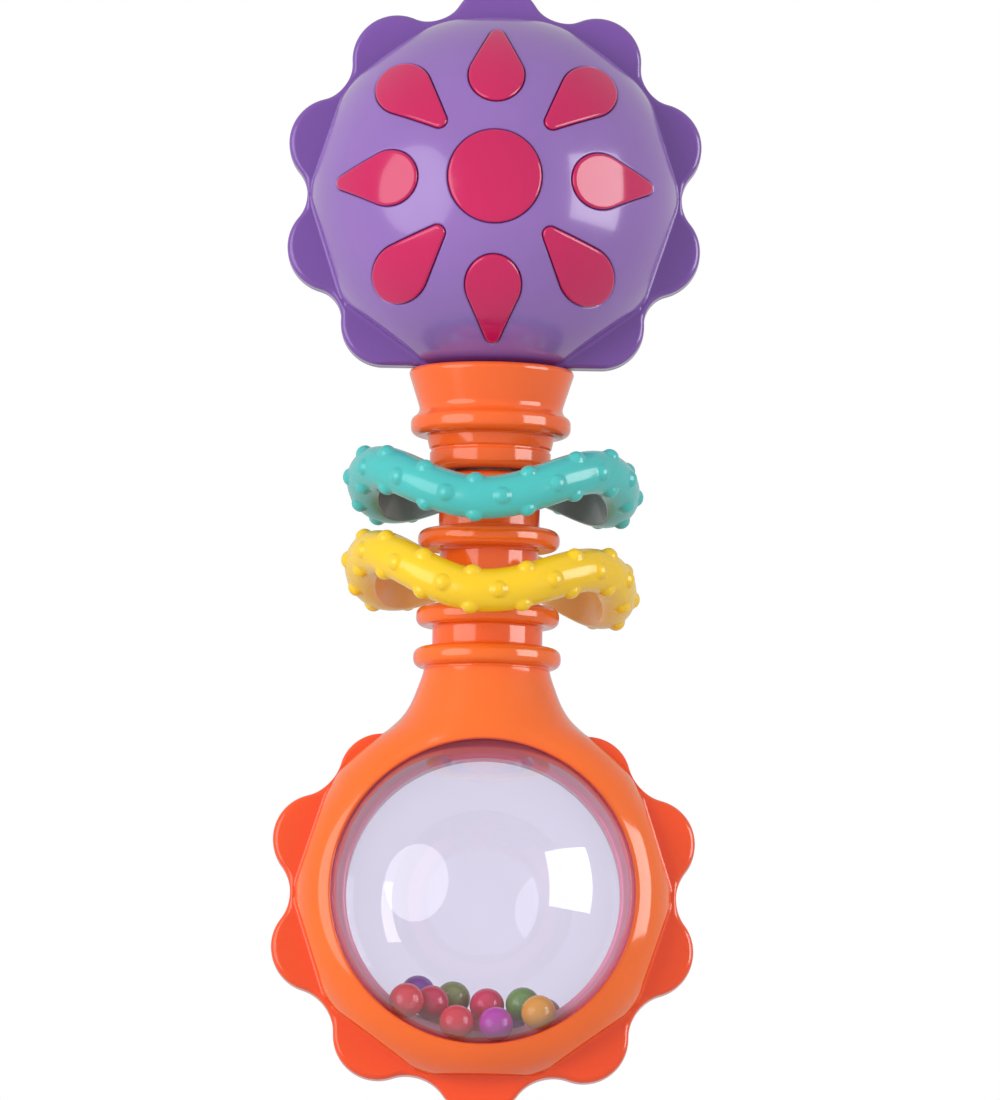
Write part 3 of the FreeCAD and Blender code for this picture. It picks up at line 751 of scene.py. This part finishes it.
def head_shell():
    """The front shell, and the (indices, normals) of its vertices on the plain sphere."""
    count = 720
    angles = around(count)
    rows = head_rows(angles)
    points = rings_about_y(rows, angles)
    faces = grid_faces(len(rows), count, wrap_cols=True)
    faces.append([(len(rows) - 1) * count + i for i in range(count)])

    outer = np.stack([CAP_R * np.cos(angles), CAP_R * np.sin(angles)], -1)
    plan, triangles = cap_plan(outer)
    distance = inlay_distance(plan)
    base = on_head(plan)
    cap = base * (1 + skin_height(np.round(distance, 3)) / HEAD_R)[:, None]
    # the cap shares the first ring of the grid
    index = {k: i for i, k in enumerate(nearest(outer, plan))}
    added = [i for i in range(len(plan)) if i not in index]
    index.update({k: len(points) + i for i, k in enumerate(added)})
    plain = [i for i in added if distance[i] > 0.42]
    sphere_count = 16 * count  # the grid's rows well above the foot
    normals = np.vstack([base[plain] / HEAD_R, points[:sphere_count] / HEAD_R])
    indices = np.array([index[i] for i in plain] + list(range(sphere_count)))
    points = np.vstack([points, cap[added]])
    # the grid winds inward, so the cap does too; make() turns the whole shell
    for triangle in triangles:
        face = [index[i] for i in triangle]
        a, b, c = points[face]
        if np.cross(b - a, c - a)[1] < 0:
            face = face[::-1]
        faces.append(face)
    return [(points + np.array([0, 0, HEAD_Z]), faces)], (indices, normals)


# ---------------------------------------------------------------- inlay pads
PAD_TOP_R, PAD_ROUND = HEAD_R + 0.35, 0.5
PAD_LOOPS = (0.0, -0.03, -0.08, -0.15, -0.24, -0.35, -0.5, -0.62)
PAD_SKIRT_RADII = (31.6, 31.0, 29.0)  # distances from the head's centre


def pad(shape, degrees):
    """One inlay: a rounded top and a skirt into the head."""
    outer, *loops = [shape_loop(shape, degrees, grow, 0.36) for grow in PAD_LOOPS]
    low, high = outer.min(0) - 1, outer.max(0) + 1
    x, z = np.meshgrid(np.arange(low[0], high[0], 0.9), np.arange(low[1], high[1], 0.8))
    fill = np.stack([x.ravel(), z.ravel()], -1)
    fill = fill[shape_distance(fill, shape, degrees) < -1.0]
    plan, top_faces = triangulate(outer, loops, fill)
    height = edge_drop(-shape_distance(plan, shape, degrees), PAD_ROUND)
    base = on_head(plan)
    points = [*(base * ((PAD_TOP_R + height) / HEAD_R)[:, None])]
    ring = nearest(outer, plan)
    skirt, last = [], ring
    for radius in PAD_SKIRT_RADII:
        new = list(range(len(points), len(points) + len(ring)))
        points.extend(base[ring] * (radius / HEAD_R))
        for i in range(len(ring)):
            j = (i + 1) % len(ring)
            skirt.append([last[i], new[i], new[j], last[j]])
        last = new
    skirt.append(last[::-1])
    # the skirt must wind as the top does, whichever way the outline runs
    first_edge = (ring[0], ring[1])
    if not any(first_edge in zip(face, face[1:] + face[:1]) for face in top_faces):
        skirt = [face[::-1] for face in skirt]
    return np.array(points) + np.array([0, 0, HEAD_Z]), top_faces + skirt


def inlay_liner():
    """The bowl behind the pads, between two spheres and cut level at its edge."""
    edge_depth = 8.2
    rows = []
    for radius, order in ((29.15, 1), (27.8, -1)):
        for a in np.linspace(0.03, math.acos(edge_depth / radius), 30)[::order]:
            rows.append((radius * math.sin(a), radius * math.cos(a)))
    count = 160
    return rings_about_y(rows, around(count), HEAD_Z), capped_faces(len(rows), count)


shell, sphere_normals = head_shell()
make_pair("head_shell", "skin", shell, PURPLE, "head", exact=sphere_normals)
pads = [pad(*inlay) for inlay in INLAYS] + [inlay_liner()]
make_pair("inlay", "pads", pads, MAGENTA, "head")

# ---------------------------------------------------------------- collar
# radius, height above the collar's foot, corner radius
COLLAR_CORNERS = [
    (6.05, 0, 0),
    (10.5, 0, 1.3),
    (10.5, 3.21, 0.3),
    (10.28, 3.51, 0.1),
    (10.28, 3.76, 0.1),
    (10.6, 4.06, 0.2),
    (11.1, 6.16, 0.5),
    (13.87, 6.16, 1.45),
    (13.87, 9.11, 1.3),
    (12.15, 10.31, 1.6),
    (14.57, 17.86, 0.8),
    (11.4, 17.86, 0.4),
    (9.6, 15.2, 0),
    (9.6, 2.2, 0),
    (6.05, 2.2, 0),
]
collar_corners = [(r, COLLAR_FOOT_Z + height, corner) for r, height, corner in COLLAR_CORNERS]
collar = [half_turned(dense(rounded(collar_corners, 9), 1.2))]
make_pair("collar", "skin", collar, ORANGE, "head", sharp=50)

# ---------------------------------------------------------------- window frame
HANDLE_END_Z = -21.3  # the turned handle ends and the flare begins
# radius, z, corner radius
HANDLE_CORNERS = [
    (5.0, HANDLE_TOP_Z, 0),
    (8.75, HANDLE_TOP_Z, 1.0),
    (8.75, 3.2, 0.5),
    (12.3, 3.2, 1.5),
    (12.3, -0.3, 1.5),
    (8.5, -0.3, 0.6),
    (8.5, -10.2, 0.6),
    (12.4, -10.2, 1.5),
    (12.4, -13.7, 1.4),
    (9.55, -13.7, 0.5),
    (9.55, -17.4, 0.5),
    (12.8, -17.4, 1.5),
    (12.8, -20.9, 1.5),
    (10.9, -20.9, 0.35),
    (10.9, HANDLE_END_Z, 0),
]
# the flare from the handle to the ring: z, half width, depth
FLARE = np.array(
    [
        (-19.5, 10.8, 10.7),
        (-21.3, 10.9, 10.9),
        (-22.6, 11.25, 11.2),
        (-24.6, 12.0, 11.65),
        (-26.4, 12.65, 12.05),
        (-28.1, 13.5, 12.45),
        (-29.3, 14.3, 12.72),
        (-30.3, 15.15, 12.95),
        (-31.4, 16.4, 13.2),
        (-32.5, 17.7, 13.35),
        (-33.8, 19.4, 13.4),
        (-36.4, 22.6, 12.6),
        (-39.0, 24.9, 10.6),
        (-42.0, 27.0, 7.5),
    ]
)
FLARE[:, 0] += LENS_Z + 60.5  # the table's heights are for a lens centre at z = -60.5


def read_flare(z, column):
    """A column of FLARE at z, averaged over a short stretch."""
    heights, values = FLARE[::-1, 0], FLARE[::-1, column]
    return sum(0.2 * np.interp(z + d, heights, values) for d in (-0.8, -0.4, 0, 0.4, 0.8))


def flare_depth(x, z):
    half_width, depth = read_flare(z, 1), read_flare(z, 2)
    return depth * np.sqrt(np.maximum(1 - (x / half_width) ** 2, 0))


def beside_handle(x, z):
    """1 where the ring runs on from the flare, falling to 0 further round."""
    off = np.degrees(np.abs(np.arctan2(x, z)))
    return smooth_step((57 - off) / 8)


def ring_depth(radius, outer):
    share = np.clip((radius - RING_MID) / (outer - RING_MID), 0, 1)
    return RING_DEPTH * np.sqrt(np.maximum(1 - share * share, 0))


def front_depth(x, z):
    """Depth of the frame's front face, ring and flare blended."""
    flare = np.where(z > LENS_Z + 18, flare_depth(x, z), 0)
    outer = RING_OUT + 0.45 * beside_handle(x, z - LENS_Z)
    ring = ring_depth(np.hypot(x, z - LENS_Z), outer)
    return smooth_max(ring, flare, 0.05 + 2.55 * np.clip(ring / 4, 0, 1))


def frame_ring():
    """The ring round the window with its petals."""
    count = 900
    angles = around(count)
    cos, sin = np.cos(angles), np.sin(angles)
    foot = soft_min(RING_FLAT / np.cos(lobe_delta(angles)), RING_CORNER)
    foot = np.minimum(foot, RING_FOOT_MAX)
    # beside the handle the ring keeps its full width
    away = smooth_step((degrees_off(angles, 90) - 50) / 7)
    foot = RING_FOOT_MAX + (foot - RING_FOOT_MAX) * away + 0.44 * beside_handle(cos, sin)
    rim = np.maximum(flange_outline(angles, LENS_LOBE, LENS_LOW_LOBE), foot + 0.06)

    # inside: parting plane, seat of the dome, wall along the dome
    dome_clear_r = DOME_R + 0.1

    def clear_of_dome(depth):
        return math.sqrt(dome_clear_r**2 - (depth - DOME_OFF) ** 2)

    rows = [(SEAT_R, 0.0), (SEAT_R, 5.7), (SEAT_R - 0.1, 5.8)]
    rows += [(clear_of_dome(depth), depth) for depth in np.linspace(5.82, 10.95, 9)]
    # rounded lip
    lip_r, lip_round = clear_of_dome(11.2), 0.42
    face_r = lip_r + 0.5
    top = front_depth(face_r * cos, LENS_Z + face_r * sin)
    for a in math.pi / 2 * np.linspace(0, 1, 6):
        radius = lip_r + lip_round * (1 - math.cos(a))
        rows.append((radius, top - lip_round + lip_round * math.sin(a)))
    # front face
    for share in np.linspace(0, 1, 26):
        radius = face_r + (foot - face_r) * (1 - (1 - share) ** 1.7)
        rows.append((radius, front_depth(radius * cos, LENS_Z + radius * sin)))
    rows += flange_rows(foot, rows[-1][1], rim)
    faces = grid_faces(len(rows), count, wrap_rows=True, wrap_cols=True)
    return rings_about_y(rows, angles, LENS_Z), faces


def frame_handle():
    """The turned lower handle with its flanges, and the flare that runs into the ring."""
    profile = dense(rounded(HANDLE_CORNERS, 9), 1.0, closed=False)
    angles = half_turn_angles(0.012, 0.03, 180)
    cos, sin = np.cos(math.pi + angles), np.sin(math.pi + angles)
    step_in = np.zeros(len(angles))
    step_in[[0, -1]] = SEAM
    start_z = np.full(len(angles), HANDLE_END_Z)
    rows = [
        np.stack([(r - step_in) * cos, (r - step_in) * sin, 0 * angles + z], -1)
        for r, z in profile
    ]
    for share in np.linspace(0, 1, 70)[1:]:
        x, z = read_flare(start_z, 1) * cos, start_z
        # x and z depend on each other; settle them by repeated averaging
        for _ in range(40):
            chord = np.sqrt(np.maximum(31.6**2 - x**2, 0))
            end_z = LENS_Z + np.maximum(chord, 27.3)
            z = 0.5 * z + 0.5 * (HANDLE_END_Z + share * (end_z - HANDLE_END_Z))
            x = 0.5 * x + 0.5 * read_flare(z, 1) * cos
        depth = np.maximum(front_depth(x, z), 0)
        # just behind the ring's face where the two overlap
        depth = depth - 0.012 * np.clip(33.4 - np.hypot(x, z - LENS_Z), 0, 1)
        depth[0] = depth[-1] = 0
        rows.append(np.stack([x, -depth, z], -1))
    rows.append(rows[-1] * np.array([1, 0, 1]))
    row_count, col_count = len(rows), len(angles)
    faces = grid_faces(row_count, col_count)
    for i in range(row_count - 1):
        here, above = i * col_count, (i + 1) * col_count
        faces.append([here + col_count - 1, here, above, above + col_count - 1])
    faces.append(list(range(col_count))[::-1])
    faces.append([(row_count - 1) * col_count + i for i in range(col_count)])
    return np.array(rows).reshape(-1, 3), faces


frame_half = [frame_ring(), frame_handle()]
make_pair("lens_frame", "skin", frame_half, FRAME, "handle", sharp=65)


# ---------------------------------------------------------------- domes and ring between them
def dome_shell():
    inner_r = DOME_R - DOME_T
    outer_end = math.acos((DOME_BACK + DOME_RIM_T - DOME_OFF) / DOME_R)
    inner_end = math.acos((DOME_BACK - DOME_OFF) / inner_r)
    pole = 0.012

    def arc(radius, start, end):
        spread = np.linspace(start, end, 90)
        return [(radius * math.sin(a), DOME_OFF + radius * math.cos(a)) for a in spread]

    rim = [(28.25, 5.66), (28.3, 5.6), (28.3, 4.25), (28.25, DOME_BACK)]
    rows = arc(DOME_R, pole, outer_end) + rim + arc(inner_r, inner_end, pole)
    count = 256
    return rings_about_y(rows, around(count), LENS_Z), capped_faces(len(rows), count)


def chamber_band():
    inner, outer, half_depth = 23.7, 28.3, 4.1
    corners = [
        (inner, -half_depth, 0.8),
        (outer, -half_depth, 0.2),
        (outer, half_depth, 0.2),
        (inner, half_depth, 0.8),
    ]
    rows = [(radius, -y) for radius, y in dense(rounded(corners, 8), 0.9)]
    count = 360
    faces = grid_faces(len(rows), count, wrap_rows=True, wrap_cols=True)
    return rings_about_y(rows, around(count), LENS_Z), faces


make_pair("lens_dome", "clear", [dome_shell()], CLEAR, "handle", sharp=40)
make(
    "chamber_ring_band",
    [chamber_band()],
    BAND,
    "handle",
    "chamber_ring",
    sharp=50,
)

# ---------------------------------------------------------------- loose rings
LOOP_R, TUBE_R = 21.7, 3.75
LOOP_INNER_R = LOOP_R - TUBE_R + 1.9  # the tube is shaved to a flat band inside
WAVE_PHASE, NUB_PHASE = math.radians(-5), math.radians(3.7)
NUB_R, NUB_OUT = 1.75, 0.85  # sphere radius and how far it stands out
NUB_COUNT = 16
# rows of nubs: lift from the outer side in degrees, offset in pitches, height factor
NUB_ROWS = ((0, 0.0, 0.85), (62, 0.5, 1), (-62, 0.5, 1))


def nub_rise(points, centre_line):
    """Height of the nubs at each point of the tube."""
    foot_r = math.sqrt(NUB_R**2 - (NUB_R - NUB_OUT) ** 2)
    rise = np.zeros(points.shape[:2])
    for lift, offset, factor in NUB_ROWS:
        lift = math.radians(lift)
        for k in range(NUB_COUNT):
            q = NUB_PHASE + 2 * math.pi * (k + offset) / NUB_COUNT
            level = math.cos(lift)
            outward = np.array([math.sin(q) * level, -math.cos(q) * level, math.sin(lift)])
            distance = np.linalg.norm(points - (centre_line(q) + outward * TUBE_R), axis=-1)
            height = np.sqrt(np.maximum(NUB_R**2 - distance**2, 0)) - (NUB_R - NUB_OUT)
            height = 0.5 * (height + np.sqrt(height * height + 0.02))
            fade = np.clip((foot_r + 0.9 - distance) / 0.5, 0, 1)
            rise = np.maximum(rise, height * fade * factor)
    return rise


def wavy_ring(centre_x, centre_z, wave, lean, tip):
    """A ring of three waves with nubs; lean turns it about Y and tip about X, in degrees."""
    loop_count, tube_count = 640, 112
    t = around(loop_count)[:, None]
    a = around(tube_count)[None, :]

    def centre_line(q):
        z = -wave * np.cos(3 * (q - WAVE_PHASE))
        return np.stack([LOOP_R * np.sin(q), -LOOP_R * np.cos(q), z], -1)

    def unit(vectors):
        return vectors / np.linalg.norm(vectors, axis=-1, keepdims=True)

    tangent = unit(centre_line(t + 1e-4) - centre_line(t - 1e-4))
    outward = np.stack([np.sin(t), -np.cos(t), 0 * t], -1)
    outward = unit(outward - tangent * (outward * tangent).sum(-1, keepdims=True))
    up = np.cross(tangent, outward)
    up = np.where(up[..., 2:3] < 0, -up, up)
    direction = outward * np.cos(a)[..., None] + up * np.sin(a)[..., None]
    points = centre_line(t) + direction * TUBE_R
    points = points + direction * nub_rise(points, centre_line)[..., None]

    radius = np.hypot(points[..., 0], points[..., 1])
    banded = smooth_max(radius, LOOP_INNER_R, 0.25) / radius
    x, y, z = points[..., 0] * banded, points[..., 1] * banded, points[..., 2]
    lean, tip = math.radians(lean), math.radians(tip)
    x, z = x * math.cos(lean) + z * math.sin(lean), -x * math.sin(lean) + z * math.cos(lean)
    y, z = y * math.cos(tip) - z * math.sin(tip), y * math.sin(tip) + z * math.cos(tip)
    placed = np.stack([x + centre_x, y, z + centre_z], -1).reshape(-1, 3)
    return [(placed, grid_faces(loop_count, tube_count, wrap_rows=True, wrap_cols=True))]


teal_ring = wavy_ring(centre_x=0.6, centre_z=10.75, wave=2.55, lean=0.5, tip=4.15)
make("teal_ring_wave", teal_ring, TEAL, "teal_loop", "teal_ring")
yellow_ring = wavy_ring(centre_x=0.4, centre_z=-5.4, wave=2.72, lean=4.2, tip=3.7)
make("yellow_ring_wave", yellow_ring, YELLOW, "yellow_loop", "yellow_ring")

# ---------------------------------------------------------------- beads
BEAD_COLOURS = {
    "red_bead_left": "E03440",
    "crimson_bead": "D42C52",
    "scarlet_bead": "E83040",
    "magenta_bead": "C834B0",
    "amber_bead": "F2A828",
    "purple_bead_left": "8A44A8",
    "olive_bead": "8A9A58",
    "rose_bead": "E0345C",
    "green_bead": "74A050",
    "tan_bead": "DC8A48",
    "red_bead_back": "D83848",
    "violet_bead": "9048B8",
    "brown_bead": "BC5A44",
}


def bead(node):
    """A ball of the CAD bead's height at its place, with small flat poles."""
    centre = middle(node)
    low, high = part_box(node)
    radius = (high.z - low.z) / 2 * 1000
    around_count, row_count, pole = 56, 30, 0.02
    angles = around(around_count)[None, :]
    polar = np.linspace(pole, math.pi - pole, row_count)[:, None]
    x = centre.x + radius * np.sin(polar) * np.cos(angles)
    y = centre.y + radius * np.sin(polar) * np.sin(angles)
    z = centre.z + radius * np.cos(polar) + 0 * angles
    return np.stack([x, y, z], -1).reshape(-1, 3), capped_faces(row_count, around_count)


record = frame["record"]
bodies = {node: body for body, nodes in record["behaviour"]["bodies"].items() for node in nodes}
for node, colour in BEAD_COLOURS.items():
    bead_plastic = plastic("plastic_" + node, colour, rough=0.12, vary=0.08)
    make(node + "_ball", [bead(node)], bead_plastic, bodies[node], node)

# ---------------------------------------------------------------- mechanism: CAD shapes kept
MECHANISM = {
    "spindle": IVORY,
    "detent_wheel": IVORY,
    "click_spring": STEEL,
    "retaining_washer": STEEL,
    "retaining_screw": STEEL,
}
for node, material in MECHANISM.items():
    materials = frame["nodes"][node].data.materials
    materials.clear()
    materials.append(material)

# ---------------------------------------------------------------- stage, in metres
scene = bpy.context.scene


def floor_paper():
    """Matt light grey, see-through from below."""
    material, tree = new_material("floor_paper")
    patches = noise(tree, object_coords(tree), scale=4)
    grey = colour_ramp(tree, patches, (0.80, 0.80, 0.80, 1), (0.84, 0.84, 0.84, 1))
    paper = add_node(tree, "BsdfPrincipled", {"Roughness": 0.7, "Base Color": grey})
    back = add_node(tree, "NewGeometry").outputs["Backfacing"]
    nothing = add_node(tree, "BsdfTransparent")
    shader = mix_shader(tree, back, paper.outputs[0], nothing.outputs[0])
    add_node(tree, "OutputMaterial", {"Surface": shader})
    return material


def add_floor():
    half_size, count, clearance = 3.0, 24, 0.0005
    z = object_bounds()[0].z - clearance
    spread = np.linspace(-half_size, half_size, count)
    mesh = bpy.data.meshes.new("floor")
    mesh.from_pydata([(x, y, z) for y in spread for x in spread], [], grid_faces(count, count))
    floor = bpy.data.objects.new("floor", mesh)
    scene.collection.objects.link(floor)
    mesh.materials.append(floor_paper())
    floor.visible_glossy = False
    floor.visible_shadow = False


def add_world():
    """A white surround: dim as a light, a little brighter in reflections, white to the camera."""
    world = bpy.data.worlds.new("world")
    scene.world = world
    world.use_nodes = True
    tree = world.node_tree
    tree.nodes.clear()
    path = add_node(tree, "LightPath").outputs
    light, reflected, seen = (
        add_node(tree, "Background", {"Color": (1, 1, 1, 1), "Strength": strength}).outputs[0]
        for strength in (0.50, 0.62, 1.0)
    )
    unseen = mix_shader(tree, path["Is Glossy Ray"], light, reflected)
    surround = mix_shader(tree, path["Is Camera Ray"], unseen, seen)
    add_node(tree, "OutputWorld", {"Surface": surround})


def softbox(name, azimuth, elevation, size, radiance, shape, shine=True, fill=True):
    """A soft light aimed at the origin; azimuth runs from the front toward +X, in degrees.

    shine is whether it shows in reflections, fill whether it lights matt shading.
    """
    distance = 1.1
    data = bpy.data.lights.new(name, "AREA")
    data.shape = shape
    data.size = size
    area = size * size * (math.pi / 4 if shape == "DISK" else 1)
    data.energy = radiance * area * math.pi
    light = bpy.data.objects.new(name, data)
    scene.collection.objects.link(light)
    a, e = math.radians(azimuth), math.radians(elevation)
    light.location = (
        distance * math.sin(a) * math.cos(e),
        -distance * math.cos(a) * math.cos(e),
        distance * math.sin(e),
    )
    light.rotation_euler = (-light.location).to_track_quat("-Z", "Y").to_euler()
    light.visible_camera = False
    light.visible_glossy = shine
    light.visible_diffuse = fill


def add_camera():
    """A distant camera a little below level, looking up, slightly rolled.

    The focal length gives the stretch between head and lens centres a set size on the sensor.
    """
    distance = 2.6
    elevation, roll = math.radians(-6.0), math.radians(0.953)
    sensor_width = 36.0  # mm
    stretch_on_sensor = 22.83043  # mm
    # where the camera aims, right and up of the stretch's middle, mm on the sensor
    aim_right, aim_up = 0.3665455, -0.1063636

    data = bpy.data.cameras.new("camera")
    camera = bpy.data.objects.new("camera", data)
    scene.collection.objects.link(camera)
    scene.camera = camera
    backward = Vector((0, -math.cos(elevation), math.sin(elevation)))
    level = (-backward).to_track_quat("-Z", "Y").to_matrix()
    rotation = level @ Matrix.Rotation(roll, 3, "Z")
    right, up = rotation.col[0], rotation.col[1]
    head, lens = Vector((0, 0, HEAD_Z * MM)), Vector((0, 0, LENS_Z * MM))
    data.sensor_width = sensor_width
    focal = stretch_on_sensor * distance / (head - lens).dot(up)
    data.lens = focal
    target = (head + lens) / 2 + (right * aim_right + up * aim_up) * (distance / focal)
    camera.location = target + backward * distance
    camera.rotation_mode = "QUATERNION"
    camera.rotation_quaternion = rotation.to_quaternion()
    data.clip_start, data.clip_end = 0.05, 30


add_floor()
add_world()
softbox(
    "softbox_left", azimuth=-50, elevation=2, size=1.04, radiance=2.15, shape="DISK", fill=False
)
softbox(
    "softbox_left_fill", azimuth=-51, elevation=12, size=1.1, radiance=3.75, shape="DISK",
    shine=False,
)
softbox(
    "softbox_right", azimuth=67, elevation=6, size=0.74, radiance=5.0, shape="SQUARE", fill=False
)
softbox(
    "softbox_right_fill", azimuth=60, elevation=12, size=0.87, radiance=2.3, shape="SQUARE",
    shine=False,
)
add_camera()
scene.view_settings.view_transform = "Standard"
scene.view_settings.look = "None"
